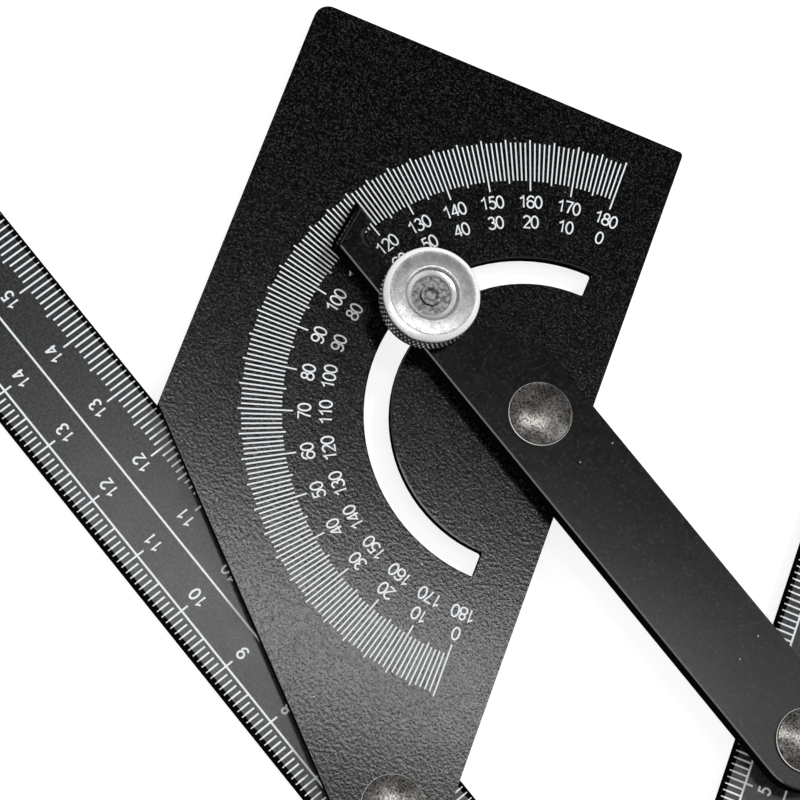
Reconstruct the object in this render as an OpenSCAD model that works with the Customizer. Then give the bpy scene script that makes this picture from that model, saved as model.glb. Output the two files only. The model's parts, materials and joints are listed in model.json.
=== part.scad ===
// Angle ruler with a protractor: two flat rules hinged at one end, a protractor plate
// riveted to the lower rule, and a pointer arm that joins the plate to the upper rule.
// The four pivots stand on a rhombus, so the arm stays parallel to the lower rule and
// its pointer reads the angle between the rules.  Sizes are millimetres.
// X runs along the lower rule from the apex pivot, Z is up, and z = 0 is the lower
// rule's underside.

/* [Linkage] */
// side of the rhombus that the four pivots stand on
link = 60; // [50:0.5:70]
// angle between the two rules as drawn
open_angle = 60; // [25:1:150]

/* [Rules] */
// length of the printed scale, measured from the apex pivot
scale_len = 200; // [150:5:300]
// blank length past the last graduation
rule_tail = 6; // [3:0.5:15]
// pivot line to the edge with the bounded scale
rule_near = 8.5; // [7:0.1:11]
// pivot line to the other edge
rule_far = 10.5; // [7:0.1:13]
// thickness of each rule
rule_t = 1.5; // [0.8:0.1:2.5]
// corner radius at the far end of each rule
rule_corner = 1.2; // [0.4:0.1:4]
// break on the top edges of each rule
rule_break = 0.2; // [0.1:0.05:0.4]

/* [Protractor plate] */
// sheet thickness
plate_t = 1.8; // [1:0.1:3]
// centre pivot to the straight edge beside the upper rule
plate_right = 7.6; // [7:0.1:9]
// centre pivot to the opposite edge
plate_left = 51.3; // [48:0.1:60]
// centre pivot to the top edge
plate_top = 48.1; // [46:0.1:60]
// slope of the long cut edge, from the plate's cross direction
plate_slope = 45.7; // [40:0.1:50]
// radius of the outer top corner
plate_corner = 2.3; // [1:0.1:5]
// radius of the inner top corner
plate_corner_small = 0.7; // [0.4:0.1:3]
// break on the plate's top edges
plate_break = 0.2; // [0.1:0.05:0.5]

/* [Arc slot] */
// radius of the slot's middle line about the centre pivot
slot_r = 22.9; // [21:0.1:26]
// width of the slot
slot_w = 3.9; // [3.6:0.1:5]
// corner radius at the slot's ends
slot_corner = 0.4; // [0.2:0.05:0.8]
// break on the slot's top edges
slot_break = 0.2; // [0.1:0.05:0.3]
// slot start, in degrees of the printed scale
slot_start_angle = 1; // [0:0.5:4]
// slot end, in degrees of the printed scale
slot_end_angle = 182; // [178:0.5:186]

/* [Pointer arm] */
// width of the arm
arm_w = 14.3; // [13:0.1:16]
// thickness of the arm
arm_t = 3.2; // [2.4:0.1:4.5]
// gap between the plate and the arm, bridged by the bosses and the clamp spacer
arm_gap = 1.3; // [1:0.1:2]
// break on the arm's top edges
arm_break = 0.2; // [0.1:0.05:0.5]
// wider break along the inner side of the neck and round the notch
neck_break = 0.6; // [0.3:0.1:1]
// centre pivot to the start of the shoulder
shoulder_x = 7; // [5.5:0.1:9]
// width of the neck that carries the pointer
neck_w = 3.5; // [2.6:0.1:4]
// inner end of the reading edge, from the centre pivot
read_from = 37.5; // [36.8:0.1:38.5]
// outer end of the reading edge, from the centre pivot
read_to = 41; // [40:0.1:42.5]
// how far the pointer's cut end leans back across the arm
tip_lean = 2.8; // [1.5:0.1:4]
// width of the bevel that thins the pointer towards its two printed-side edges
bevel_w = 1.4; // [0.8:0.1:2]
// start of the slope under the neck that brings the pointer down to the plate
bend_from = 28.6; // [27.8:0.1:29.4]
// end of that slope
bend_to = 36; // [34.5:0.1:36.5]
// thickness of the pointer's tip
tip_t = 0.9; // [0.6:0.05:1.4]
// gap between the pointer's tip and the plate
tip_gap = 0.25; // [0.15:0.05:0.5]
// radius of the notch beside the pointer
notch_r = 1.2; // [0.8:0.1:1.5]
// how far the notch's side leans from straight across the arm, in degrees
notch_lean = 22.5; // [15:0.5:30]
// radius of the bosses under the arm at its two pivots
boss_r = 5.2; // [4:0.1:6]
// angle from the arm's middle line to the clamp bolt, seen from the centre pivot
clamp_angle = 7.2; // [5:0.1:8]

/* [Rivets and washers] */
// radius of a rivet's shank
rivet_r = 2.5; // [2:0.1:3]
// radius of a rivet's head
head_r = 4.7; // [4:0.1:5.5]
// height of a rivet's head at its rim
head_rim = 0.7; // [0.4:0.1:1.2]
// rise of the crown above the rim
head_crown = 0.45; // [0.2:0.05:0.9]
// radial clearance of a pivot hole on its rivet
pivot_clear = 0.06; // [0.02:0.01:0.1]
// thickness of the thin washers between the layers
shim_t = 0.25; // [0.15:0.05:0.5]
// outer radius of the thin washers
shim_r = 4.9; // [4:0.1:5.5]
// thickness of the rear washers that the rivet tails close on
burr_t = 0.6; // [0.4:0.05:0.8]
// outer radius of the rear washers
burr_r = 4.2; // [3.8:0.1:5]
// height of a closed tail under its rear washer
tail_h = 0.7; // [0.4:0.05:0.9]
// radius of a closed tail
tail_r = 3.5; // [3.2:0.1:4]
// depth of the countersinks under the lower rule
sink_h = 0.8; // [0.5:0.05:1]
// mouth radius of the countersinks
sink_r = 3.5; // [3.2:0.1:4.2]

/* [Clamp and lock knob] */
// radius of the clamp bolt
bolt_r = 1.5; // [1.2:0.05:1.8]
// width of the bolt's square neck, which rides in the slot
neck_sq = 3.6; // [3:0.05:3.65]
// radius of the bolt's head
bolt_head_r = 3.1; // [2.8:0.1:3.6]
// height of the bolt's head
bolt_head_h = 0.85; // [0.6:0.05:1.1]
// thickness of the washer under the plate
back_t = 0.5; // [0.3:0.05:0.6]
// radius of the washer under the plate
back_r = 4; // [3.4:0.1:4.4]
// radius of the spacer between plate and arm
spacer_r = 4.1; // [3.3:0.1:4.3]
// radial clearance of the holes on the clamp bolt
bolt_clear = 0.08; // [0.03:0.01:0.1]
// thickness of the washer under the knob
washer_t = 0.5; // [0.3:0.05:1]
// radius of the washer under the knob
washer_r = 5.5; // [4.5:0.1:6.5]
// radius of the knob
knob_r = 7.06; // [6:0.02:8]
// height of the knob
knob_h = 5.5; // [4.6:0.1:7]
// height of the knurled band from the knob's base
knurl_top = 3.9; // [2.5:0.1:4.2]
// depth of the relief below and above the knurled band
knurl_relief = 0.15; // [0.1:0.05:0.3]
// chamfer round the knob's top
knob_chamfer = 0.85; // [0.4:0.05:1]
// radius of the knob's recess at its mouth
recess_r = 3.7; // [3.2:0.1:4.5]
// depth of the knob's recess
recess_h = 1.5; // [1:0.1:2.4]
// radius of the threaded insert in the knob
insert_r = 2.8; // [2.2:0.1:3]
// how far the bolt's end stands above the insert
bolt_proud = 0.6; // [0.2:0.05:1]
// radius of the pit in the bolt's end
pit_r = 1.1; // [0.7:0.05:1.2]

/* [Hidden] */
$fn = 96;
e = 0.01;
big = 400;

// small forms that stay as they are when a size changes
tip_break = 0.35;      // corner breaks on the pointer's tip
neck_root = 2;         // from the clamp bolt to where the neck's edge starts
head_edge = 0.25;      // rounded shoulder of a rivet's head
pit_h = 0.25;          // depth of the pit in the bolt's end
neck_short = 0.2;      // the square neck stops this far under the plate's face
knob_foot = 0.35;      // chamfer round the knob's base
knurl_base = 0.45;     // height of the plain foot below the knurled band
mouth_break = 0.15;    // broken edge at the mouth of the recess
bend_steps = 10;       // straight runs that draw the slope under the neck
bevel_steps = 8;       // straight runs that draw the bevel of the pointer

// layers, from the table up
z_rule2 = rule_t + shim_t;                 // upper rule and plate stand on thin washers
z_plate = rule_t + shim_t;
z_rule2_top = z_rule2 + rule_t;
z_plate_top = z_plate + plate_t;
z_arm = z_plate_top + arm_gap;
z_arm_top = z_arm + arm_t;
z_washer_top = z_arm_top + washer_t;
z_knob_top = z_washer_top + knob_h;
z_bolt_top = z_knob_top - recess_h + bolt_proud;

// pivots
A = [0, 0];
B = [link, 0];
D = link * [cos(open_angle), -sin(open_angle)];
C = B + D;
half = arm_w / 2;
K = slot_r * [cos(clamp_angle), sin(clamp_angle)];   // clamp bolt, in the arm's own axes
pad_r = half - K[1];                                 // the arm's pad round the bolt
neck_y = half - neck_w;                              // right edge of the pointer's neck

hole_r = rivet_r + pivot_clear;

// places the children in the axes of one piece
module on_upper() { rotate([0, 0, -open_angle]) children(); }
module on_plate() { translate([C[0], C[1], 0]) rotate([0, 0, -open_angle - 90]) children(); }
module on_arm() { translate([C[0], C[1], 0]) children(); }

// a hole through everything, with its true radius
module bore(r) { translate([0, 0, -big / 2]) cylinder(r = r, h = big); }

// a cutter that breaks the top edge from p to q; the solid lies to the left of the way from p to q
module edge_break(p, q, z, c) {
    d = q - p;
    translate([p[0], p[1], z]) rotate([0, 0, atan2(d[1], d[0])]) rotate([45, 0, 0])
        translate([-c, -c / sqrt(2) * 2, -c / sqrt(2)]) cube([norm(d) + 2 * c, c / sqrt(2) * 2, c / sqrt(2) * 2]);
}

// a cutter that breaks the top rim of a round end
module rim_break(r, z, c) {
    translate([0, 0, z]) rotate_extrude() polygon([
        [r - c, e], [r + 2 * c, e], [r + 2 * c, -4 * c], [r + e, -c - e], [r, -c], [r - c, 0]]);
}

// a cutter that leaves a corner of radius r; the corner is at the origin, the solid in the first quadrant
module corner_cut(r, h) {
    difference() {
        translate([-1, -1, -e]) cube([r + 1, r + 1, h + 2 * e]);
        translate([r, r, -1]) cylinder(r = r, h = h + 2);
        translate([r, -2, -1]) cube([r + 2, r + 4, h + 2]);
        translate([-2, r, -1]) cube([r + 4, r + 2, h + 2]);
    }
}

module ring(ro, ri, h) {
    difference() {
        cylinder(r = ro, h = h);
        translate([0, 0, -1]) cylinder(r = ri, h = h + 2);
    }
}

// one rule with its round end at the origin
module rule_blank() {
    w = rule_near + rule_far;
    len = scale_len + rule_tail;
    cy = (rule_near - rule_far) / 2;
    difference() {
        union() {
            translate([0, -rule_far, 0]) cube([len, w, rule_t]);
            translate([0, cy, 0]) cylinder(r = w / 2, h = rule_t);
        }
        translate([len, -rule_far, 0]) rotate([0, 0, 90]) corner_cut(rule_corner, rule_t);
        translate([len, rule_near, 0]) rotate([0, 0, 180]) corner_cut(rule_corner, rule_t);
        edge_break([0, -rule_far], [len - rule_corner, -rule_far], rule_t, rule_break);
        edge_break([len - rule_corner, rule_near], [0, rule_near], rule_t, rule_break);
        edge_break([len, -rule_far + rule_corner], [len, rule_near - rule_corner], rule_t, rule_break);
        translate([0, cy, 0]) intersection() {
            rim_break(w / 2, rule_t, rule_break);
            translate([-big, -big / 2, -big / 2]) cube(big);
        }
    }
}

module lower_rule() {
    color([0.20, 0.21, 0.22]) difference() {
        rule_blank();
        for (p = [A, B]) translate([p[0], p[1], 0]) {
            bore(rivet_r);
            translate([0, 0, -e]) cylinder(r1 = sink_r + e, r2 = rivet_r, h = sink_h + e);
        }
    }
}

module upper_rule() {
    color([0.24, 0.25, 0.26]) translate([0, 0, z_rule2]) on_upper() difference() {
        rule_blank();
        bore(hole_r);
        translate([link, 0, 0]) bore(hole_r);
    }
}

// protractor plate, in its own axes: origin at the centre pivot, +Y to the 180 degree mark
foot_r = plate_right;
foot = [0, -link];
foot_t = foot + foot_r * [-sin(plate_slope), -cos(plate_slope)];
obtuse = [-plate_left, foot_t[1] + (plate_left + foot_t[0]) * tan(plate_slope)];

// direction of a degree mark, in the plate's axes
function mark(n) = [cos(270 - n), sin(270 - n)];

// the half of the plane that the slot leaves alone; short pulls it back from the slot's ends
module slot_stop(short) {
    far = slot_r * 3;
    start = short * mark(slot_start_angle + 90);
    end = short * mark(slot_end_angle - 90);
    translate([0, 0, -big / 2]) linear_extrude(height = big) polygon([
        start, start + far * mark(slot_start_angle), far * mark((slot_end_angle + slot_start_angle) / 2 + 180),
        end + far * mark(slot_end_angle), end]);
}

// one end of the slot with two round corners; turn points from the end into the slot
module slot_end(angle, turn) {
    inner = sqrt(pow(slot_r - slot_w / 2 + slot_corner, 2) - pow(slot_corner, 2));
    outer = sqrt(pow(slot_r + slot_w / 2 - slot_corner, 2) - pow(slot_corner, 2));
    rotate([0, 0, 270 - angle]) {
        for (x = [inner, outer]) translate([x, turn * slot_corner, 0]) bore(slot_corner);
        translate([inner, turn > 0 ? 0 : -slot_corner - e, -big / 2]) cube([outer - inner, slot_corner + e, big]);
    }
}

module slot_cut() {
    outer = slot_r + slot_w / 2;
    inner = slot_r - slot_w / 2;
    difference() {
        bore(outer);
        bore(inner);
        slot_stop(slot_corner);
    }
    slot_end(slot_start_angle, -1);
    slot_end(slot_end_angle, 1);
    difference() {
        translate([0, 0, plate_t]) rotate_extrude() polygon([
            [inner - slot_break - e, e], [inner, -slot_break], [outer, -slot_break], [outer + slot_break + e, e]]);
        slot_stop(slot_corner);
    }
}

module protractor_plate() {
    color([0.08, 0.08, 0.09]) translate([0, 0, z_plate]) on_plate() difference() {
        union() {
            linear_extrude(height = plate_t) polygon([
                [plate_right, plate_top], [-plate_left, plate_top], obtuse, foot_t, foot, [plate_right, -link]]);
            translate([foot[0], foot[1], 0]) cylinder(r = foot_r, h = plate_t);
        }
        translate([-plate_left, plate_top, 0]) rotate([0, 0, -90]) corner_cut(plate_corner, plate_t);
        translate([plate_right, plate_top, 0]) rotate([0, 0, 180]) corner_cut(plate_corner_small, plate_t);
        edge_break([plate_right, -link], [plate_right, plate_top - plate_corner_small], plate_t, plate_break);
        edge_break([plate_right - plate_corner_small, plate_top], [-plate_left + plate_corner, plate_top], plate_t, plate_break);
        edge_break([-plate_left, plate_top - plate_corner], obtuse, plate_t, plate_break);
        edge_break(obtuse, foot_t, plate_t, plate_break);
        slot_cut();
        bore(rivet_r);
        translate([foot[0], foot[1], 0]) bore(hole_r);
    }
}

// pointer arm, in its own axes: origin at the centre pivot, +X to the pointer
function smooth(t) = t * t * (3 - 2 * t);

// the underside where it comes down: from height z0 before the slope to z1 past it
function bend_line(z0, z1) = [for (i = [0:bend_steps])
    [bend_from + (bend_to - bend_from) * i / bend_steps, z0 + (z1 - z0) * smooth(i / bend_steps)]];
function backwards(list) = [for (i = [len(list) - 1:-1:0]) list[i]];
z_tip = z_plate_top + tip_gap;
z_tip_top = z_tip + tip_t;
tip_corner = [read_to - tip_lean, half];                  // where the cut end would meet the outer side
notch_in = [read_from - neck_y * tan(notch_lean), neck_y];   // where the notch's side would meet the neck
notch_c = [notch_in[0] - notch_r / tan(90 + notch_lean) - notch_r / sin(90 + notch_lean), neck_y - notch_r];
notch_t = notch_c + notch_r * [cos(notch_lean), sin(notch_lean)];

module arm_side() {
    translate([0, big / 2, 0]) rotate([90, 0, 0]) linear_extrude(height = big) polygon(concat(
        [[-big, z_arm_top], [big, z_arm_top], [big, z_tip]], backwards(bend_line(z_arm, z_tip)), [[-big, z_arm]]));
}

// the pointer's bevel: distance from the edge, and height over the tip's top
function bevel_line() = [for (i = [0:bevel_steps]) let (t = i / bevel_steps)
    [bevel_w * t, (z_arm_top - z_tip_top) * (1 - pow(1 - t, 2))]];

// cuts the bevel along the edge from p to q; the solid lies to the left of the way from p to q
module bevel_cut(p, q) {
    d = q - p;
    above = z_arm_top - z_tip_top + 1;
    translate([p[0], p[1], z_tip_top]) rotate([0, 0, atan2(d[1], d[0])]) rotate([90, 0, 90])
        translate([0, 0, -bevel_w]) linear_extrude(height = norm(d) + 2 * bevel_w)
            polygon(concat([[-bevel_w, 0]], bevel_line(), [[bevel_w, above], [-bevel_w, above]]));
}

// breaks the arm's outer edge in one sweep: along the arm, then down the bevel at the pointer's corner
module outer_edge_break() {
    c = arm_break;
    lean = norm([tip_lean, half]) / half;                // along the arm, for one across the bevel
    down = [for (p = backwards(bevel_line())) [tip_corner[0] - p[0] * lean, z_tip_top + p[1]]];
    path = concat([[-link, z_arm_top]], down, [[read_to, z_tip_top]]);
    last = len(path) - 1;
    points = [for (p = path) each [
        [p[0], half - 2 * c, p[1] + c], [p[0], half + c, p[1] - 2 * c], [p[0], half + c, p[1] + c]]];
    sides = [for (i = [0:last - 1]) each [for (k = [0:2]) let (m = (k + 1) % 3)
        [3 * i + k, 3 * i + 3 + k, 3 * i + 3 + m, 3 * i + m]]];
    polyhedron(points, concat([[0, 1, 2]], sides, [[3 * last + 2, 3 * last + 1, 3 * last]]));
}

// breaks the inner edge: along the neck, round the notch and out to the reading edge
module inner_edge_break() {
    edge_break([K[0] + neck_root, neck_y], [notch_c[0], neck_y], z_arm_top, neck_break);
    translate([notch_c[0], notch_c[1], z_arm_top - neck_break])
        cylinder(r1 = notch_r, r2 = notch_r + neck_break + e, h = neck_break + e);
    edge_break(notch_t, [read_from, 0], z_arm_top, neck_break);
}

module arm_plan() {
    tall = z_arm_top + 1 - z_plate;                      // past the arm's top, which arm_side cuts
    translate([0, 0, z_plate]) {
        linear_extrude(height = tall) polygon([
            [-link, -half], [shoulder_x, -half], K, [K[0] + neck_root, neck_y], notch_in,
            [read_from, 0], [read_to - tip_break, 0], [read_to, tip_break],
            tip_corner + tip_break * [0.7, -1.7], tip_corner - [tip_break, 0], [-link, half]]);
        translate([-link, 0, 0]) cylinder(r = half, h = tall);
        translate([K[0], K[1], 0]) cylinder(r = pad_r, h = tall);
        difference() {
            linear_extrude(height = tall) polygon([[notch_c[0], neck_y + 0.2],
                notch_in + [0.1, 0.2], notch_t + [0.2, 0], notch_t, notch_c]);
            translate([notch_c[0], notch_c[1], 0]) bore(notch_r);
        }
    }
}

module pointer_arm() {
    color([0.14, 0.14, 0.15]) on_arm() difference() {
        union() {
            difference() {
                intersection() {
                    arm_plan();
                    arm_side();
                }
                bevel_cut([read_from, 0], [read_to, 0]);
                bevel_cut([read_to, 0], tip_corner);
                outer_edge_break();
                inner_edge_break();
                edge_break([-link, -half], [shoulder_x, -half], z_arm_top, arm_break);
                edge_break([shoulder_x, -half], K - [2, 1], z_arm_top, arm_break);
                translate([-link, 0, 0]) intersection() {
                    rim_break(half, z_arm_top, arm_break);
                    translate([-big, -big / 2, -big / 2]) cube(big);
                }
            }
            translate([0, 0, z_plate_top + shim_t]) cylinder(r = boss_r, h = arm_gap - shim_t + e);
            translate([-link, 0, z_rule2_top + shim_t]) cylinder(r = boss_r, h = z_arm - z_rule2_top - shim_t + e);
        }
        bore(hole_r);
        translate([-link, 0, 0]) bore(rivet_r);
        translate([K[0], K[1], 0]) bore(bolt_r + bolt_clear);
    }
}

// rivet head: rim, a narrow rounded shoulder and a low crown; z is its seat
module rivet_head(z) {
    n = 8;
    s = head_r - head_edge;
    f = head_edge * (1 - sqrt(0.5));
    translate([0, 0, z]) rotate_extrude() polygon(concat(
        [[0, 0], [head_r, 0], [head_r, head_rim - head_edge], [head_r - f, head_rim - f]],
        [for (i = [0:n]) let (r = s * (1 - i / n)) [r, head_rim + head_crown * (1 - pow(r / s, 2))]]));
}

// closed tail: a low dome hanging from its seat
module rivet_tail(z) {
    translate([0, 0, z]) rotate_extrude() polygon([[0, 0], [tail_r, 0], [tail_r, -tail_h * 0.35],
        [tail_r * 0.9, -tail_h * 0.7], [tail_r * 0.68, -tail_h], [0, -tail_h]]);
}

module sunk_rivet(seat) {
    cylinder(r = rivet_r, h = seat + e);
    cylinder(r1 = sink_r, r2 = rivet_r, h = sink_h);
    rivet_head(seat);
}

module apex_rivet() { color([0.75, 0.75, 0.73]) sunk_rivet(z_rule2_top); }
module plate_rivet() { color([0.75, 0.75, 0.73]) translate([B[0], B[1], 0]) sunk_rivet(z_plate_top); }

module centre_rivet() {
    color([0.75, 0.75, 0.73]) translate([C[0], C[1], 0]) {
        translate([0, 0, z_plate - burr_t - e]) cylinder(r = rivet_r, h = z_arm_top - z_plate + burr_t + 2 * e);
        rivet_head(z_arm_top);
        rivet_tail(z_plate - burr_t);
    }
}

module arm_rivet() {
    color([0.75, 0.75, 0.73]) translate([D[0], D[1], 0]) {
        translate([0, 0, z_rule2 - burr_t - e]) cylinder(r = rivet_r, h = z_arm_top - z_rule2 + burr_t + 2 * e);
        rivet_head(z_arm_top);
        rivet_tail(z_rule2 - burr_t);
    }
}

module shim() { ring(shim_r, hole_r, shim_t); }
module apex_washer() { color([0.85, 0.84, 0.78]) translate([0, 0, rule_t]) shim(); }
module plate_washer() { color([0.85, 0.84, 0.78]) translate([B[0], B[1], rule_t]) shim(); }
module centre_washer() { color([0.85, 0.84, 0.78]) translate([C[0], C[1], z_plate_top]) shim(); }
module arm_washer() { color([0.85, 0.84, 0.78]) translate([D[0], D[1], z_rule2_top]) shim(); }

module centre_burr() { color([0.6, 0.6, 0.58]) translate([C[0], C[1], z_plate - burr_t]) ring(burr_r, rivet_r, burr_t); }
module arm_burr() { color([0.6, 0.6, 0.58]) translate([D[0], D[1], z_rule2 - burr_t]) ring(burr_r, rivet_r, burr_t); }

// clamp bolt: round head, square neck in the slot, plain shank up through the knob
module on_clamp() { on_arm() translate([K[0], K[1], 0]) children(); }

module clamp_bolt() {
    z_head = z_plate - back_t;
    color([0.68, 0.68, 0.66]) on_clamp() difference() {
        union() {
            translate([0, 0, z_head - bolt_head_h]) cylinder(r = bolt_head_r, h = bolt_head_h);
            rotate([0, 0, clamp_angle]) translate([-neck_sq / 2, -neck_sq / 2, z_head - e])
                cube([neck_sq, neck_sq, z_plate_top - z_head - neck_short]);
            translate([0, 0, z_head - e]) cylinder(r = bolt_r, h = z_bolt_top - z_head + e);
        }
        translate([0, 0, z_bolt_top - pit_h]) cylinder(r1 = pit_r * 0.55, r2 = pit_r, h = pit_h + e);
    }
}

module clamp_back_washer() {
    color([0.6, 0.6, 0.58]) on_clamp() translate([0, 0, z_plate - back_t])
        ring(back_r, neck_sq / sqrt(2) + bolt_clear, back_t);
}

module clamp_spacer() {
    color([0.80, 0.79, 0.72]) on_clamp() translate([0, 0, z_plate_top]) ring(spacer_r, bolt_r + bolt_clear, arm_gap);
}

module clamp_washer() {
    color([0.6, 0.6, 0.58]) on_clamp() translate([0, 0, z_arm_top]) ring(washer_r, bolt_r + bolt_clear, washer_t);
}

module knob_insert() {
    color([0.72, 0.70, 0.62]) on_clamp() translate([0, 0, z_washer_top])
        ring(insert_r, bolt_r + bolt_clear, knob_h - recess_h);
}

module lock_knob() {
    r = knob_r - knurl_relief;
    color([0.80, 0.80, 0.80]) on_clamp() translate([0, 0, z_washer_top]) rotate_extrude() polygon([
        [insert_r, 0], [r - knob_foot, 0], [r, knob_foot], [r, knurl_base],
        [knob_r, knurl_base + knurl_relief], [knob_r, knurl_top],
        [r, knurl_top + knurl_relief], [r, knurl_top + 2 * knurl_relief], [knob_r, knurl_top + 3 * knurl_relief],
        [knob_r, knob_h - knob_chamfer], [knob_r - knob_chamfer * 0.3, knob_h - knob_chamfer * 0.3],
        [knob_r - knob_chamfer, knob_h], [recess_r + mouth_break, knob_h], [recess_r, knob_h - mouth_break],
        [recess_r - 0.1, knob_h - recess_h * 0.55], [insert_r + mouth_break, knob_h - recess_h], [insert_r, knob_h - recess_h]]);
}

lower_rule();
upper_rule();
protractor_plate();
pointer_arm();
apex_rivet();
plate_rivet();
centre_rivet();
arm_rivet();
apex_washer();
plate_washer();
centre_washer();
arm_washer();
centre_burr();
arm_burr();
clamp_bolt();
clamp_back_washer();
clamp_spacer();
clamp_washer();
knob_insert();
lock_knob();
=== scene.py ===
# %% [markdown]
# An angle ruler on a white table. Two flat rules turn on one rivet, a black protractor
# plate is riveted to the lower rule, and a black arm joins the plate to the upper rule
# and carries the pointer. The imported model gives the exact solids. This script adds what
# a solid model lacks: the white print, the knurl on the lock knob and all the finishes.

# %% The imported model
import json
import math

import bpy
from mathutils import Matrix, Vector


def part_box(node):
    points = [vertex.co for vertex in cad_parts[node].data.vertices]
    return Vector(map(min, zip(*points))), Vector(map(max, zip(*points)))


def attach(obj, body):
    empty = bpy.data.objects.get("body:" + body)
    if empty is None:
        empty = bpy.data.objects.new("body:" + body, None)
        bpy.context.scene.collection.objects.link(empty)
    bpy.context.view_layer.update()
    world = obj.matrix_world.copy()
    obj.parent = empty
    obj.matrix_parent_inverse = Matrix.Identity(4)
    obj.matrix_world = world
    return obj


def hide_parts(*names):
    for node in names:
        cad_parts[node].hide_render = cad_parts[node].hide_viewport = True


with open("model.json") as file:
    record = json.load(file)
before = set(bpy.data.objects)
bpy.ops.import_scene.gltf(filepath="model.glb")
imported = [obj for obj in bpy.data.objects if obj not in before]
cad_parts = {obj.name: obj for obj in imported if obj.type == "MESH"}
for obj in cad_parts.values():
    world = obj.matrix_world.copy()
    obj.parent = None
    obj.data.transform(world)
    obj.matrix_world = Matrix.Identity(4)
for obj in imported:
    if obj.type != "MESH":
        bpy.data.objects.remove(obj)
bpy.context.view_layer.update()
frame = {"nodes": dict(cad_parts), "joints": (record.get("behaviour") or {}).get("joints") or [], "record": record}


def add_object(name, data):
    """A new object in the scene; the camera, the lamps and all new meshes come in here."""
    made = bpy.data.objects.new(name, data)
    bpy.context.scene.collection.objects.link(made)
    return made


# %% [markdown]
# The joints say where the pivots are, and the nodes' boxes say how high each face lies.
# Everything below is worked out from these, so the print can't drift off the metal. The
# four pivots stand on a rhombus, which gives the one pivot that no joint names. A rule's
# pivots stand off its middle, so its near and far edges lie at different distances from
# them. Both long edges look rounded over ROUND_EDGE, and a band that wide along each is
# painted black as shade.

# %% Pivots and faces
MM = 0.001
joint_at = {j["name"]: Vector(j["pos_m"]) for j in frame["joints"] if "pos_m" in j}
apex = joint_at["rule_hinge"]
plate_foot = joint_at["plate_pivot"]
centre = joint_at["arm_pivot"]
knob_axis = joint_at["knob_turn"]
arm_end = apex + (centre - plate_foot)
link = (plate_foot - apex).length
open_angle = math.degrees((arm_end - apex).angle(plate_foot - apex))
lower_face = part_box("lower_rule")[1].z
upper_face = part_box("upper_rule")[1].z
plate_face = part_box("protractor_plate")[1].z
RULE_NEAR = 8.5 * MM
RULE_FAR = 10.5 * MM
ROUND_EDGE = 0.80 * MM
print(f"link {link / MM:.1f} mm, rules open at {open_angle:.1f} degrees")
print(f"printed faces at {lower_face / MM:.2f}, {upper_face / MM:.2f} and {plate_face / MM:.2f} mm")

# %% [markdown]
# The camera stands where the photographer stood, and its lens takes in the same angle.
# Both came from fitting the printed degree and millimetre lines. A camera looks down its
# own -Z, so its matrix is built from three directions: right, up and back.

# %% Camera
CAMERA_PLACE = Vector((0.071447, 0.091693, 0.422731))
CAMERA_RIGHT = Vector((-0.630399, -0.754006, 0.184587))
CAMERA_BACK = Vector((-0.07481, 0.295689, 0.95235))
SENSOR = 36.0
FOCAL = 137.4

camera = add_object("camera", bpy.data.cameras.new("camera"))
back = CAMERA_BACK.normalized()
right = (CAMERA_RIGHT - CAMERA_RIGHT.dot(back) * back).normalized()
turn = Matrix((right, back.cross(right), back)).transposed()
camera.matrix_world = Matrix.Translation(CAMERA_PLACE) @ turn.to_4x4()
camera.data.sensor_width = SENSOR
camera.data.lens = FOCAL
camera.data.clip_start = 0.01
bpy.context.scene.camera = camera
bpy.context.scene.view_settings.view_transform = "Standard"
print(f"camera {CAMERA_PLACE.length:.3f} m from the apex pivot, lens {FOCAL} mm")

# %% [markdown]
# Shader nodes are wired by hand in Blender, which is hard to read in a script. This
# small class wraps a socket, so that `1 - mask * 0.4` adds its two Math nodes. A Math
# node turns a colour grey, so colours are mixed by a Mix node instead.

# %% Sockets that can be added and multiplied
class Wire:
    """An output socket that takes part in sums."""

    def __init__(self, finish, socket):
        self.finish = finish
        self.socket = socket

    def sum(self, operation, first, second):
        return self.finish.node("ShaderNodeMath", {"operation": operation}, {0: first, 1: second})

    def __add__(self, other):
        return self.sum("ADD", self, other)

    def __radd__(self, other):
        return self.sum("ADD", other, self)

    def __sub__(self, other):
        return self.sum("SUBTRACT", self, other)

    def __rsub__(self, other):
        return self.sum("SUBTRACT", other, self)

    def __mul__(self, other):
        return self.sum("MULTIPLY", self, other)

    def __rmul__(self, other):
        return self.sum("MULTIPLY", other, self)

    def __abs__(self):
        return self.sum("ABSOLUTE", self, 0.0)

    def __gt__(self, other):
        return self.sum("GREATER_THAN", self, other)

    def __lt__(self, other):
        return self.sum("LESS_THAN", self, other)


# %% [markdown]
# Any other node comes from one method. It takes the node's type, its settings, which go
# first because some of them change the sockets, then what its sockets get, and the output
# that is wanted. The scale of a noise is in grains per metre, so 2000 gives grains half a
# millimetre across. A face that is less level than WALL_LEVEL counts as an upright wall.

# %% A finish is one tree of nodes
WALL_LEVEL = 0.3


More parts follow.
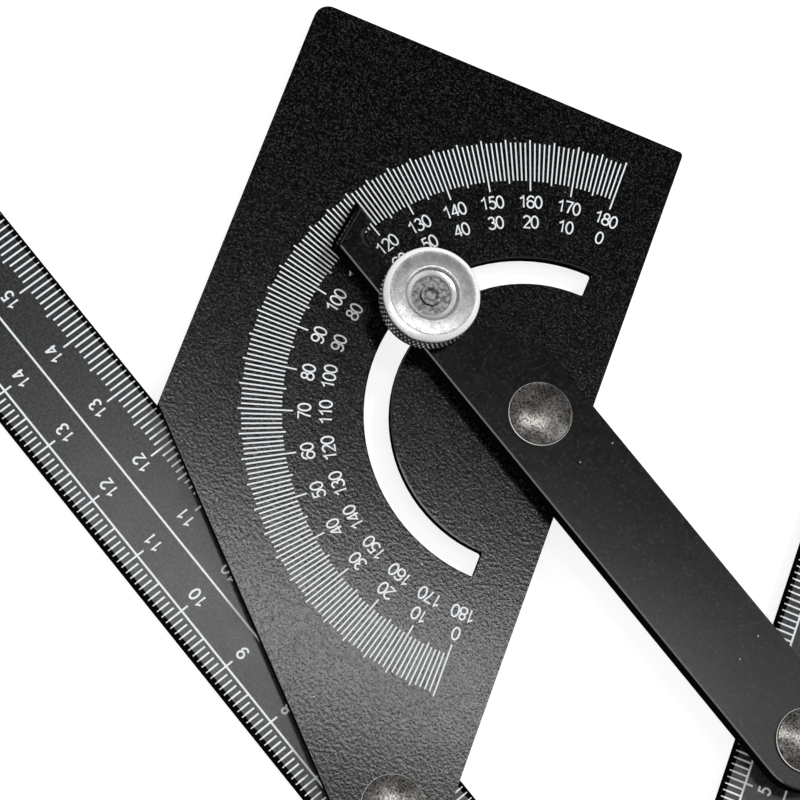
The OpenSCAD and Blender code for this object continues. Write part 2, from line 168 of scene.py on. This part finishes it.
class Finish:
    """The nodes of one material, or of the world, made in order."""

    def __init__(self, name, tree=None):
        if tree is None:
            self.material = bpy.data.materials.new(name)
            self.material.use_nodes = True
            tree = self.material.node_tree
        tree.nodes.clear()
        self.tree = tree

    def feed(self, socket, value):
        if isinstance(value, Wire):
            self.tree.links.new(value.socket, socket)
        else:
            socket.default_value = value

    def node(self, kind, settings=None, inputs=None, out=0):
        made = self.tree.nodes.new(kind)
        for key, value in (settings or {}).items():
            if key == "stops":
                set_stops(made.color_ramp, value)
            else:
                setattr(made, key, value)
        for key, value in (inputs or {}).items():
            self.feed(made.inputs[key], value)
        return Wire(self, made.outputs[out]) if made.outputs else None

    def place(self):
        """Where a point lies on the piece, in metres; it stays on the piece as it moves."""
        return self.node("ShaderNodeTexCoord", out="Object")

    def noise(self, scale, detail=2.0, rough=0.5, where=None):
        inputs = {"Vector": where or self.place(), "Scale": scale, "Detail": detail, "Roughness": rough}
        return self.node("ShaderNodeTexNoise", None, inputs, "Fac")

    def cells(self, scale):
        """The distance to the nearest of many scattered points, in shares of their spacing."""
        return self.node("ShaderNodeTexVoronoi", None, {"Vector": self.place(), "Scale": scale}, "Distance")

    def ramp(self, value, *stops):
        return self.node("ShaderNodeValToRGB", {"stops": stops}, {"Fac": value})

    def fade(self, value, low, high):
        """0 up to low, 1 from high on, and a straight slope between."""
        return self.ramp(value, (low, 0.0), (high, 1.0))

    def mix(self, share, first, second):
        return self.node("ShaderNodeMix", {"data_type": "RGBA"}, {0: share, 6: first, 7: second}, 2)

    def bump(self, height, depth, strength=1.0):
        inputs = {"Height": height, "Distance": depth, "Strength": strength}
        return self.node("ShaderNodeBump", None, inputs, "Normal")

    def height(self):
        return self.node("ShaderNodeSeparateXYZ", None, {0: self.place()}, "Z")

    def levelness(self):
        """1 on a level face and 0 on an upright wall."""
        normal = self.node("ShaderNodeNewGeometry", out="True Normal")
        return abs(self.node("ShaderNodeSeparateXYZ", None, {0: normal}, "Z"))

    def principled(self, **inputs):
        named = {key.replace("_", " "): value for key, value in inputs.items()}
        return self.node("ShaderNodeBsdfPrincipled", None, named)

    def end(self, surface):
        self.node("ShaderNodeOutputMaterial", None, {"Surface": surface})
        return self.material

    def shader(self, **inputs):
        return self.end(self.principled(**inputs))

    def coat(self, painted_shade=0.0, **inputs):
        """A coat with painted shade: its upright walls are plain black with no reflection, and so are its level
        faces where the first argument is 1.
        """
        face = self.principled(**inputs)
        # Painted shade: the walls, and the faces that the first argument marks, get plain black with no
        # reflection.
        wall = self.principled(Base_Color=grey(0.002), Roughness=0.8, Specular_IOR_Level=0.0)
        level = (self.levelness() > WALL_LEVEL) * (1 - painted_shade)
        return self.end(self.node("ShaderNodeMixShader", None, {0: level, 1: wall, 2: face}))


def set_stops(color_ramp, stops):
    """Stops are (position, grey) pairs."""
    while len(color_ramp.elements) < len(stops):
        color_ramp.elements.new(0.5)
    for element, (position, tone) in zip(color_ramp.elements, stops):
        element.position = position
        element.color = grey(tone)


def grey(value, warmth=0.0):
    """A linear grey; warmth above 0 leans to yellow, below 0 to blue."""
    return (value * (1 + warmth), value, value * (1 - warmth), 1)


# %% [markdown]
# The table is white in the camera and in reflections, yet it has to keep the tool's soft
# shadow. Its shader adds a glow, which lifts the lit table just past white, to a plain
# diffuse white that the shadow can darken. Light Path picks that mixture for camera,
# glossy and transmission rays, and every other ray meets an ordinary white table.

# %% Table
TABLE_HALF = 3.0
TABLE_DROP = 0.02 * MM
TABLE_WHITE = grey(0.75)
TABLE_LIT = grey(0.32)
TABLE_GLOW = 0.84


def seen_ray(finish):
    """1 for the rays that carry a picture: from the camera, a mirror or a glass."""
    names = ("Is Camera Ray", "Is Glossy Ray", "Is Transmission Ray")
    rays = [finish.node("ShaderNodeLightPath", out=name) for name in names]
    seen = rays[0]
    for ray in rays[1:]:
        seen = seen.sum("MAXIMUM", seen, ray)
    return seen


def table_finish():
    white = Finish("table_white")
    plain = white.node("ShaderNodeBsdfDiffuse", None, {"Color": TABLE_WHITE})
    glow = white.node("ShaderNodeEmission", None, {"Color": grey(1.0), "Strength": TABLE_GLOW})
    part = white.node("ShaderNodeBsdfDiffuse", None, {"Color": TABLE_LIT})
    shown = white.node("ShaderNodeAddShader", None, {0: glow, 1: part})
    both = white.node("ShaderNodeMixShader", None, {0: seen_ray(white), 1: plain, 2: shown})
    return white.end(both)


table_mesh = bpy.data.meshes.new("table")
signs = ((-1, -1), (1, -1), (1, 1), (-1, 1))
corners = [(x * TABLE_HALF, y * TABLE_HALF, -TABLE_DROP) for x, y in signs]
table_mesh.from_pydata(corners, [], [(0, 1, 2, 3)])
table_mesh.materials.append(table_finish())
table = add_object("table", table_mesh)

# %% [markdown]
# In mirror images the room is white at the horizon and dark overhead, like a tent with an
# opening for the camera. Flat black metal seen from above mirrors only that opening, so
# it stays black, while rims and edges catch the white walls. TENT_WALLS gives the grey by
# the height of the direction, from 0 at the horizon to 1 overhead. The camera sees plain
# white, and matt surfaces get an even light of strength AMBIENT.

# %% World
AMBIENT = 0.45
TENT_WALLS = ((0.0, 1.0), (0.45, 0.60), (0.64, 0.06), (0.80, 0.003), (1.0, 0.002))


def build_world():
    world = bpy.data.worlds.new("tent")
    world.use_nodes = True
    tent = Finish("tent", world.node_tree)
    direction = tent.node("ShaderNodeTexCoord", out="Generated")
    height = tent.node("ShaderNodeSeparateXYZ", None, {0: direction}, "Z")
    walls = tent.ramp(height, *TENT_WALLS)
    seen = seen_ray(tent)
    mirrored = tent.node("ShaderNodeLightPath", out="Is Glossy Ray")
    picture = tent.mix(mirrored, grey(1.0), walls)
    light = tent.mix(seen, grey(AMBIENT), picture)
    glow = tent.node("ShaderNodeBackground", None, {"Color": light, "Strength": 1.0})
    tent.node("ShaderNodeOutputWorld", None, {"Surface": glow})
    bpy.context.scene.world = world


build_world()

# %% [markdown]
# The mirror image of the overhead strip crosses the lower half of the picture, so the
# satin coats brighten there and go black towards the top. The far and left lamps brighten
# the lower right and the left side in the same way. The square key lamp stands off to the
# upper right, lights the print and throws the short black shadows. It is left out of
# mirror images, where it would glare on the rivets. A long low strip at the lower left
# draws the bright line on the arm's edge.

# %% Lamps
LAMP_HEIGHT = 0.80


def lamp(name, place, length, width, radiance, tilt=0, turn=0):
    """A lamp that faces down, then is tilted about its length and turned about Z."""
    data = bpy.data.lights.new(name, "AREA")
    data.shape = "RECTANGLE"
    data.size = length
    data.size_y = width
    data.energy = radiance * math.pi * length * width
    made = add_object(name, data)
    made.location = place
    made.rotation_euler = (math.radians(tilt), 0, math.radians(turn))
    print(f"lamp {name}: {data.energy:.2f} W")
    return made


lamp("overhead", (0.102, -0.200, LAMP_HEIGHT), 0.29, 0.05, radiance=16.0, turn=34)
lamp("far_side", (-0.15, -0.36, LAMP_HEIGHT), 0.26, 0.20, radiance=2.4, turn=14)
key = lamp("key", (0.05, -0.72, LAMP_HEIGHT), 0.14, 0.14, radiance=110.0, tilt=42)
key.visible_glossy = False
lamp("near_side", (0.10, 0.90, 0.29), 1.20, 0.26, radiance=5.5, tilt=70, turn=180)
lamp("left_side", (0.235, -0.18, LAMP_HEIGHT), 0.05, 0.05, radiance=3.5)

# %% [markdown]
# The plate has a fine leather-like powder coat. A wrinkle noise through a steep fade
# gives its flat tops, finer grain and sparse points break them up, and a worn noise
# mottles the black. Sparse pale specks are the dust that a black coat always shows. The
# arm's coat is smoother, and the rules' coat is greyer. Every coat's upright walls get
# painted shade: plain black with no reflection. A rule's rounded long edges get the same
# painted shade.

# %% Black coats
SPECK_REACH = 0.05
DUST_PATCHES = 0.37


def dust(finish, scale, share):
    """1 on small round specks, which are left only in some patches."""
    spots = finish.cells(scale) < SPECK_REACH
    kept = finish.noise(scale * DUST_PATCHES, detail=0.0) > 1 - share
    return spots * kept


def plate_coat():
    coat = Finish("plate_coat")
    wrinkle = coat.fade(coat.noise(2000, detail=1.0), 0.35, 0.65)
    grain = coat.noise(4600, detail=1.0)
    points = coat.fade(coat.noise(3600, detail=1.0), 0.60, 0.72)
    worn = coat.fade(coat.noise(3800), 0.50, 0.68)
    tone = coat.mix(worn, grey(0.001, -0.05), grey(0.024, -0.02))
    return coat.coat(
        Base_Color=coat.mix(dust(coat, scale=420, share=0.30), tone, grey(0.28)),
        Roughness=0.12 + 0.06 * coat.noise(900),
        Normal=coat.bump(wrinkle + grain * 0.35 + points, depth=0.006 * MM),
        Specular_IOR_Level=0.36)


def arm_coat():
    coat = Finish("arm_coat")
    grain = coat.noise(1500, rough=0.6) + coat.noise(4200, detail=1.0) * 0.6
    worn = coat.fade(coat.noise(1600, detail=4.0, rough=0.7), 0.50, 0.75)
    tone = coat.mix(worn, grey(0.0008, -0.06), grey(0.020, -0.02))
    return coat.coat(
        Base_Color=coat.mix(dust(coat, scale=420, share=0.40), tone, grey(0.35)),
        Roughness=0.15 + 0.06 * coat.noise(600),
        Normal=coat.bump(grain, depth=0.004 * MM, strength=0.8),
        Specular_IOR_Level=0.30)


def rule_coat(name="rule_coat", turn=0.0):
    """A rule's coat; turn brings the rule's length back to the X axis."""
    coat = Finish(name)
    grain = coat.noise(3000, detail=3.0, rough=0.6)
    worn = coat.fade(coat.noise(2600, detail=3.0, rough=0.6), 0.35, 0.70)
    tone = coat.mix(worn, grey(0.010, -0.05), grey(0.045, -0.03))
    along = coat.node("ShaderNodeVectorRotate", {"rotation_type": "Z_AXIS"}, {
        "Vector": coat.place(), "Angle": math.radians(turn)})
    across = coat.node("ShaderNodeSeparateXYZ", None, {0: along}, "Y")
    middle = (RULE_NEAR - RULE_FAR) / 2
    half = (RULE_NEAR + RULE_FAR) / 2
    # Painted shade: a band ROUND_EDGE wide along each long edge gets the coat's black, unreflecting walls.
    edge_shade = abs(across - middle) > half - ROUND_EDGE
    return coat.coat(
        edge_shade,
        Base_Color=coat.mix(dust(coat, scale=260, share=0.15), tone, grey(0.3)),
        Roughness=0.18 + 0.06 * coat.noise(240),
        Normal=coat.bump(grain, depth=0.006 * MM, strength=0.6),
        Specular_IOR_Level=0.30)


# %% [markdown]
# The rivet heads are nickel with a speckled, half tarnished face and a rolled rim. The
# rim has a painted highlight: it is pale and less metallic than the face, so it stays
# bright whatever it mirrors. Scratches are a noise drawn out SCRATCH_STRETCH times along
# the X axis. SCRATCH_PICK turns the noise itself, not the scratches, and so picks which
# ones there are. The knob is brighter, turned metal with faint rings and a cloudy face,
# and its bevels get the same painted highlight in a pale grey. Its grooves get painted
# shade: below the top of the knurl, a point gets darker the deeper it lies, in shares of
# KNURL_DEPTH. The knurl itself is made further down.

# %% Bright metals
KNURL_DEPTH = 0.30 * MM
KNURL_TOP = 3.9 * MM
RIM_LOW = 0.2
RIM_HIGH = 0.85
SCRATCH_PICK = 0.75
SCRATCH_STRETCH = 18


def slanted(finish):
    """1 on a rolled rim or a bevel, which is neither level nor upright; the metals paint a highlight there."""
    return (finish.levelness() < RIM_HIGH) * (finish.levelness() > RIM_LOW)


def axis_distance(finish, axis):
    """How far a point lies from an upright axis, in metres."""
    def vector_math(operation, inputs, out=0):
        return finish.node("ShaderNodeVectorMath", {"operation": operation}, inputs, out)

    local = vector_math("SUBTRACT", {0: finish.place(), 1: tuple(axis)})
    flat = vector_math("MULTIPLY", {0: local, 1: (1, 1, 0)})
    return vector_math("LENGTH", {0: flat}, "Value")


def rivet_nickel():
    metal = Finish("rivet_nickel")
    streaks = metal.node("ShaderNodeMapping", None, {
        "Vector": metal.place(), "Rotation": (0, 0, SCRATCH_PICK), "Scale": (1, SCRATCH_STRETCH, 1)})
    scratch = metal.noise(160, where=streaks) > 0.66
    speckle = metal.fade(metal.noise(3600, detail=3.0, rough=0.6), 0.34, 0.70)
    tarnish = metal.ramp(metal.noise(420), (0.35, 0.35), (0.65, 1.0))
    face = metal.mix(speckle * tarnish, grey(0.015, 0.08), grey(0.42, 0.06))
    # Painted highlight: the rim gets a pale, less metallic finish that stays bright whatever it mirrors.
    rim = slanted(metal)
    grain = metal.noise(4200, rough=0.6) + scratch * 0.5
    return metal.shader(
        Base_Color=metal.mix(rim, face, grey(0.95, 0.03)),
        Metallic=0.7 - 0.5 * rim,
        Roughness=0.17 + 0.12 * metal.noise(1800) - 0.08 * scratch,
        Normal=metal.bump(grain, depth=0.0022 * MM, strength=0.9))


def knob_nickel():
    metal = Finish("knob_nickel")
    low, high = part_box("lock_knob")
    radius = axis_distance(metal, knob_axis)
    rings = metal.node("ShaderNodeTexNoise", {"noise_dimensions": "1D"}, {
        "W": radius, "Scale": 5200, "Detail": 3.0}, "Fac")
    grain = metal.noise(2300, detail=3.0, rough=0.7)
    clouds = metal.fade(metal.noise(900, detail=4.0, rough=0.65), 0.30, 0.70)
    tone = metal.mix(clouds, grey(0.34, -0.01), grey(0.62, -0.01))
    # Painted highlight: the bevels are lightened to a pale grey.
    bevel_highlit_tone = metal.mix(slanted(metal), tone, grey(0.90))
    # Painted shade: in the knurl, the grooves get darker the deeper they lie.
    deep = metal.fade(((high.x - low.x) / 2 - radius) * (1 / KNURL_DEPTH), 0.17, 0.50)
    groove = deep * (metal.height() < low.z + KNURL_TOP)
    return metal.shader(
        Base_Color=metal.mix(groove, bevel_highlit_tone, grey(0.012)),
        Metallic=0.65,
        Roughness=0.22 + 0.10 * metal.noise(2600),
        Normal=metal.bump(rings + grain, depth=0.007 * MM, strength=0.7))


def plated_steel():
    metal = Finish("plated_steel")
    clouds = metal.fade(metal.noise(1900, detail=3.0, rough=0.6), 0.38, 0.58)
    return metal.shader(
        Base_Color=metal.mix(clouds, grey(0.14), grey(0.50)),
        Metallic=1.0,
        Roughness=0.30 + 0.22 * metal.noise(2500),
        Normal=metal.bump(metal.noise(3200, detail=3.0), depth=0.03 * MM, strength=0.8))


def thin_washer():
    plastic = Finish("thin_washer")
    return plastic.shader(
        Base_Color=plastic.mix(plastic.noise(900), grey(0.62, 0.06), grey(0.72, 0.06)),
        Roughness=0.45 + 0.1 * plastic.noise(1500))


def spacer_fibre():
    fibre = Finish("spacer_fibre")
    return fibre.shader(
        Base_Color=fibre.mix(fibre.noise(1200, detail=3.0), grey(0.010), grey(0.020)),
        Roughness=0.55 + 0.15 * fibre.noise(1500))


# %% [markdown]
# The print is matt white ink. It is thin, so the grain of the coat shows in it as a
# slight bump, and its tone wavers a little where less ink was laid down.

# %% Ink
def white_ink():
    ink = Finish("white_ink")
    return ink.shader(
        Base_Color=ink.mix(ink.noise(1400, detail=3.0), grey(0.62, -0.04), grey(0.82, -0.03)),
        Roughness=0.5 + 0.1 * ink.noise(1800),
        Normal=ink.bump(ink.noise(2600), depth=0.01 * MM, strength=0.5))


# %% [markdown]
# The record says which slot each node has, and a slot's finish has the slot's name. Only
# the upper rule differs: it lies at an angle, so its coat is turned by open_angle.

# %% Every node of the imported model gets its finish
finishes = {make.__name__: make() for make in (
    plate_coat, arm_coat, rule_coat, rivet_nickel, knob_nickel, plated_steel,
    thin_washer, spacer_fibre, white_ink)}
finishes["upper_rule_coat"] = rule_coat("upper_rule_coat", open_angle)
for part in frame["record"]["subparts"]:
    finish = "upper_rule_coat" if part["node"] == "upper_rule" else part["material_slot"]
    mesh = frame["nodes"][part["node"]].data
    mesh.materials.clear()
    mesh.materials.append(finishes[finish])
print(len(finishes), "finishes on", len(frame["nodes"]), "nodes")

# %% [markdown]
# The numbers are drawn with strokes, as an engraver's alphabet is: each digit is one or
# two lines of even width, made of arcs and straight runs. A font would be quicker, but
# strokes give the thin round figures of the degree scale and the bolder ones of the
# rules from one set of lines. A digit is 1 high and DIGIT_W wide.

# %% Digits as strokes
DIGIT_W = 0.56


def arc(x, y, across, tall, start, stop, steps=14):
    """Points of an ellipse's arc, from start to stop degrees."""
    turns = [math.radians(start + (stop - start) * i / steps) for i in range(steps + 1)]
    return [(x + across * math.cos(t), y + tall * math.sin(t)) for t in turns]


def loop(x, y, across, tall):
    """A whole ellipse; its first and last points meet."""
    return arc(x, y, across, tall, 90, 450, 24)


MID = DIGIT_W / 2
six = [loop(MID, 0.30, MID, 0.30), arc(0.32, 0.60, 0.32, 0.40, 42, 178)]
DIGITS = {
    "0": [loop(MID, 0.5, MID, 0.5)],
    "1": [[(0.06, 0.74), (0.26, 0.86), (0.36, 1.0), (0.36, 0.0)]],
    "2": [arc(MID, 0.72, 0.27, 0.28, 165, -32) + [(0.03, 0.0), (DIGIT_W, 0.0)]],
    "3": [arc(0.26, 0.76, 0.23, 0.24, 160, -90), arc(0.26, 0.27, 0.29, 0.27, 88, -158)],
    "4": [[(0.42, 0.0), (0.42, 1.0)], [(0.40, 0.97), (0.0, 0.27), (DIGIT_W, 0.27)]],
    "5": [[(0.52, 1.0), (0.13, 1.0)] + arc(0.27, 0.32, 0.28, 0.32, 128, -152)],
    "6": six,
    "7": [[(0.0, 1.0), (DIGIT_W, 1.0), (0.34, 0.5), (0.22, 0.0)]],
    "8": [loop(MID, 0.77, 0.22, 0.23), loop(MID, 0.27, MID, 0.27)],
    "9": [[(DIGIT_W - x, 1 - y) for x, y in line] for line in six],
}
print("strokes:", {digit: len(lines) for digit, lines in DIGITS.items()})

# %% [markdown]
# Ink is a thin solid, INK high. Each line becomes a flat bar: its points are moved to
# both sides along the bisector of the bend, so corners stay sharp, but no further than
# MITRE_LIMIT allows, and then raised. Bars that cross differ by INK_STEP in height, so no
# two tops lie in one plane. The bars of one face are gathered into a single mesh.

# %% Ink lines
INK = 0.015 * MM
INK_STEP = 0.0008 * MM
MITRE_LIMIT = 1.5
SAME_POINT = 1e-9


class Ink:
    """Gathers flat bars for one printed face."""

    def __init__(self, level):
        self.level = level
        self.points = []
        self.faces = []

    def line(self, route, width, lift=0.0):
        """A bar along the route; a route that ends where it starts is closed."""
        route = [Vector(point) for point in route]
        closed = (route[0] - route[-1]).length < SAME_POINT
        if closed:
            route = route[:-1]
        count = len(route)
        first = len(self.points)
        for i, point in enumerate(route):
            before = (point - route[i - 1]).normalized() if closed or i else None
            after = (route[(i + 1) % count] - point).normalized() if closed or i < count - 1 else None
            before = before or after
            after = after or before
            side = Vector((-before.y - after.y, before.x + after.x)).normalized()
            reach = width / 2 / max(1 / MITRE_LIMIT, side.dot(Vector((-after.y, after.x))))
            for across in (side * reach, -side * reach):
                flat = point + across
                self.points.append((flat.x, flat.y, self.level))
                self.points.append((flat.x, flat.y, self.level + INK - lift))
        for i in range(count if closed else count - 1):
            a = first + 4 * i
            b = first + 4 * ((i + 1) % count)
            self.faces += [(a + 1, a + 3, b + 3, b + 1), (a, b, b + 2, a + 2)]
            self.faces += [(a, a + 1, b + 1, b), (a + 2, b + 2, b + 3, a + 3)]
        if not closed:
            last = first + 4 * (count - 1)
            self.faces += [(first, first + 2, first + 3, first + 1), (last, last + 1, last + 3, last + 2)]

    def number(self, value, middle, up, tall, width, pitch):
        """The value's digits, centred on middle, with their tops towards up."""
        text = str(value)
        up = up.normalized()
        along = Vector((up.y, -up.x))
        size = tall - width
        start = middle - along * (pitch * (len(text) - 1) + DIGIT_W * size) / 2 - up * size / 2
        for place, digit in enumerate(text):
            origin = start + along * pitch * place
            for layer, stroke in enumerate(DIGITS[digit]):
                route = [origin + along * x * size + up * y * size for x, y in stroke]
                self.line(route, width, layer * INK_STEP)

    def piece(self, name, body):
        mesh = bpy.data.meshes.new(name)
        mesh.from_pydata(self.points, [], self.faces)
        mesh.materials.append(finishes["white_ink"])
        mesh.validate()
        made = add_object(name, mesh)
        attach(made, body)
        print(f"{name}: {len(self.faces)} faces")


# %% [markdown]
# Both rules are printed alike. The near edge has a bounding line that the centimetre
# marks cross, a middle line parts the two rows of numbers, and the far edge has marks
# alone. A bare ring is left round each pivot, so every line is cut where it would enter
# that ring. A mark looks thinner where it runs over the rounded edge. The upper rule's
# print starts UPPER_START further out, and its millimetre marks reach the bounding line.

# %% Rule print
SCALE_LENGTH = 200
RULE_LINE = 0.30 * MM
MARK_LINE = 0.27 * MM
BOUND_LINE = 5.4 * MM
MIDDLE_LINE = -0.65 * MM
THIN_LINE = 0.15 * MM
EDGE_GAP = 0.3 * MM
NEAR_START = RULE_NEAR - EDGE_GAP
FAR_START = -RULE_FAR + EDGE_GAP
NEAR_ENDS = {1: 6.0 * MM, 5: BOUND_LINE, 10: 4.25 * MM}
UPPER_ENDS = {1: BOUND_LINE, 5: BOUND_LINE, 10: 4.25 * MM}
UPPER_START = 2.0 * MM
FAR_ENDS = {1: -6.5 * MM, 5: -6.0 * MM, 10: -5.15 * MM}
NEAR_NUMBERS = 2.4 * MM
FAR_NUMBERS = -3.5 * MM
BARE_RING = 6.2 * MM
RULE_DIGIT = 2.0 * MM
RULE_PITCH = 1.42 * MM
RULE_STROKE = 0.30 * MM
RULE_PIVOTS = (0.0, link)


def outside_rings(x0, x1, y):
    """The parts of a line along the rule, at y across it, that miss the bare rings."""
    spans = [(x0, x1)]
    reach = math.sqrt(BARE_RING ** 2 - y ** 2)
    for pivot in RULE_PIVOTS:
        cut = []
        for a, b in spans:
            cut += [(a, min(b, pivot - reach)), (max(a, pivot + reach), b)]
        spans = [(a, b) for a, b in cut if b - a > RULE_LINE]
    return spans


def rank(count):
    """Which kind of mark a count gets: 10, 5 or 1."""
    return next(size for size in (10, 5, 1) if count % size == 0)


def clear_of_rings(x, start, end):
    """A mark's end, drawn back to the rim of a bare ring that it would enter."""
    for pivot in RULE_PIVOTS:
        off = abs(x - pivot)
        if off < BARE_RING:
            rim = math.sqrt(BARE_RING ** 2 - off ** 2)
            end = max(end, rim) if start > 0 else min(end, -rim)
    return end


def rule_print(name, body, level, turn, zero, near_ends):
    """One rule's print, turned about the apex pivot, with its 0 at a distance from it."""
    spin = Matrix.Rotation(math.radians(turn), 2)
    up = spin @ Vector((0, 1))
    ink = Ink(level)

    def on_rule(x, y):
        return apex.xy + spin @ Vector((x, y))

    for number in range(SCALE_LENGTH + 1):
        x = zero + number * MM
        for start, ends in ((NEAR_START, near_ends), (FAR_START, FAR_ENDS)):
            end = clear_of_rings(x, start, ends[rank(number)])
            if abs(end) < abs(start) - ROUND_EDGE:
                flat = start - math.copysign(ROUND_EDGE - EDGE_GAP, start)
                ink.line([on_rule(x, start), on_rule(x, flat)], THIN_LINE)
                ink.line([on_rule(x, flat), on_rule(x, end)], MARK_LINE)
        if number and number % 10 == 0 and abs(x - link) > BARE_RING:
            for row in (NEAR_NUMBERS, FAR_NUMBERS):
                ink.number(number // 10, on_rule(x, row), up, RULE_DIGIT, RULE_STROKE, RULE_PITCH)
    for y in (BOUND_LINE, MIDDLE_LINE):
        for a, b in outside_rings(zero, zero + SCALE_LENGTH * MM, y):
            ink.line([on_rule(a, y), on_rule(b, y)], RULE_LINE, INK_STEP)
    ink.piece(name, body)


rule_print("lower_rule_print", "lower", lower_face, 0, 0.0, NEAR_ENDS)
rule_print("upper_rule_print", "upper", upper_face, -open_angle, UPPER_START, UPPER_ENDS)

# %% [markdown]
# The degree scale is a half circle about the centre pivot. 0 lies towards the plate's
# pivot on the lower rule, which is 180 - open_angle degrees from the X axis, and the marks
# run clockwise to 180. Two rows of numbers count opposite ways, for the angle and for its
# supplement.

# %% Degree scale
DEGREE_LINE = 0.22 * MM
DEGREE_ENDS = {10: (35.2 * MM, 43.15 * MM), 5: (36.3 * MM, 43.1 * MM), 1: (36.75 * MM, 42.65 * MM)}
OUTER_ROW = 33.5 * MM
INNER_ROW = 30.4 * MM
DEGREE_DIGIT = 2.05 * MM
DEGREE_STROKE = 0.25 * MM
DEGREE_PITCH = 1.19 * MM


def degree_way(n):
    """Unit vector from the centre pivot to the mark of n degrees."""
    t = math.radians(180 - open_angle - n)
    return Vector((math.cos(t), math.sin(t)))


def degree_print():
    ink = Ink(plate_face)
    for n in range(181):
        way = degree_way(n)
        near, far = DEGREE_ENDS[rank(n)]
        ink.line([centre.xy + way * near, centre.xy + way * far], DEGREE_LINE)
        if n % 10 == 0:
            for radius, value in ((OUTER_ROW, n), (INNER_ROW, 180 - n)):
                ink.number(value, centre.xy + way * radius, way, DEGREE_DIGIT, DEGREE_STROKE, DEGREE_PITCH)
    ink.piece("degree_print", "plate")


degree_print()

# %% [markdown]
# The lock knob's grip is a diamond knurl: two sets of helical grooves that cross. One
# height field makes both. At each point the distance to the nearest groove of each set
# is a triangle wave, and the lower of the two waves is the surface. The rest of the knob
# is a plain turned profile, so the whole knob is one grid of rings.

# %% Lock knob
KNOB_DIAMONDS = 64
KNOB_COLUMNS = KNOB_DIAMONDS * 8
KNURL_LEAN = 0.3
KNURL_ROWS = 34
KNURL_BASE = 0.45 * MM
KNURL_FADE = 0.3 * MM
RIDGE_GAIN = 1.25
KNOB_FOOT = 0.35 * MM
RELIEF = 0.15 * MM
CHAMFER = 0.85 * MM
CROWN = 0.12 * MM
CROWN_STEPS = 8
MOUTH = 3.7 * MM
MOUTH_WALL = 0.8 * MM
LIP = 0.15 * MM
SMOOTH_ANGLE = 28


def triangle(value):
    """A wave from 0 in the groove to 1 on the ridge."""
    return 1 - abs(2 * (value % 1) - 1)


def knob_profile():
    """Rings as (radius, height, knurled), from the base up and into the recess."""
    low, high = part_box("lock_knob")
    base = low.z
    top = high.z
    outer = (high.x - low.x) / 2
    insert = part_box("knob_insert")
    bore = (insert[1].x - insert[0].x) / 2
    floor = insert[1].z
    relief = outer - RELIEF
    band = (base + KNURL_BASE, base + KNURL_TOP)
    foot = [(bore, base), (relief - KNOB_FOOT, base), (relief, base + KNOB_FOOT)]
    grip = [(outer, band[0] + (band[1] - band[0]) * i / KNURL_ROWS) for i in range(KNURL_ROWS + 1)]
    neck = [(relief, band[1] + RELIEF), (relief, band[1] + 2 * RELIEF), (outer, band[1] + 3 * RELIEF)]
    bevel = [
        (outer, top - CHAMFER),
        (outer - 0.1 * CHAMFER, top - 0.8 * CHAMFER),
        (outer - 0.92 * CHAMFER, top - CROWN - 0.1 * CHAMFER),
        (outer - CHAMFER, top - CROWN),
        (outer - CHAMFER - LIP, top - CROWN)]
    crown = []
    crown_start = outer - CHAMFER - 2 * LIP
    crown_end = MOUTH + LIP
    for step in range(CROWN_STEPS + 1):
        share = step / CROWN_STEPS
        crown.append((crown_start + (crown_end - crown_start) * share, top - CROWN * (1 - share) ** 2))
    recess = [
        (MOUTH + 0.2 * LIP, top - LIP / 3),
        (MOUTH, top - LIP),
        (MOUTH - 0.8 * LIP, top - MOUTH_WALL),
        (bore + LIP, floor + LIP / 3),
        (bore, floor)]
    rings = [(radius, z, False) for radius, z in foot]
    rings += [(radius, z, True) for radius, z in grip]
    rings += [(radius, z, False) for radius, z in neck + bevel + crown + recess]
    return rings, band


def knurl_depth(share, z, radius, band):
    """How deep the knurl cuts at a share of the way round; its ridges run out at the ends."""
    climb = KNURL_LEAN * (z - band[0]) / (2 * math.pi * radius)
    ridge = min(triangle((share + climb) * KNOB_DIAMONDS), triangle((share - climb) * KNOB_DIAMONDS))
    fade = min(1.0, (z - band[0]) / KNURL_FADE, (band[1] - z) / KNURL_FADE)
    return KNURL_DEPTH * (1 - fade * min(1.0, ridge * RIDGE_GAIN))


def lock_knob():
    rings, band = knob_profile()
    points = []
    for radius, z, knurled in rings:
        for column in range(KNOB_COLUMNS):
            share = column / KNOB_COLUMNS
            turn = 2 * math.pi * share
            reach = radius - (knurl_depth(share, z, radius, band) if knurled else 0.0)
            points.append((knob_axis.x + reach * math.cos(turn), knob_axis.y + reach * math.sin(turn), z))
    faces = []
    for row in range(len(rings) - 1):
        for column in range(KNOB_COLUMNS):
            beside = (column + 1) % KNOB_COLUMNS
            a, b = row * KNOB_COLUMNS, (row + 1) * KNOB_COLUMNS
            faces.append((a + column, a + beside, b + beside, b + column))
    mesh = bpy.data.meshes.new("knurled_knob")
    mesh.from_pydata(points, [], faces)
    mesh.materials.append(finishes["knob_nickel"])
    mesh.shade_smooth()
    mesh.set_sharp_from_angle(angle=math.radians(SMOOTH_ANGLE))
    made = add_object("knurled_knob", mesh)
    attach(made, "knob")
    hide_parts("lock_knob")
    print(f"knob: {len(faces)} faces, {KNOB_DIAMONDS} diamonds round")


lock_knob()
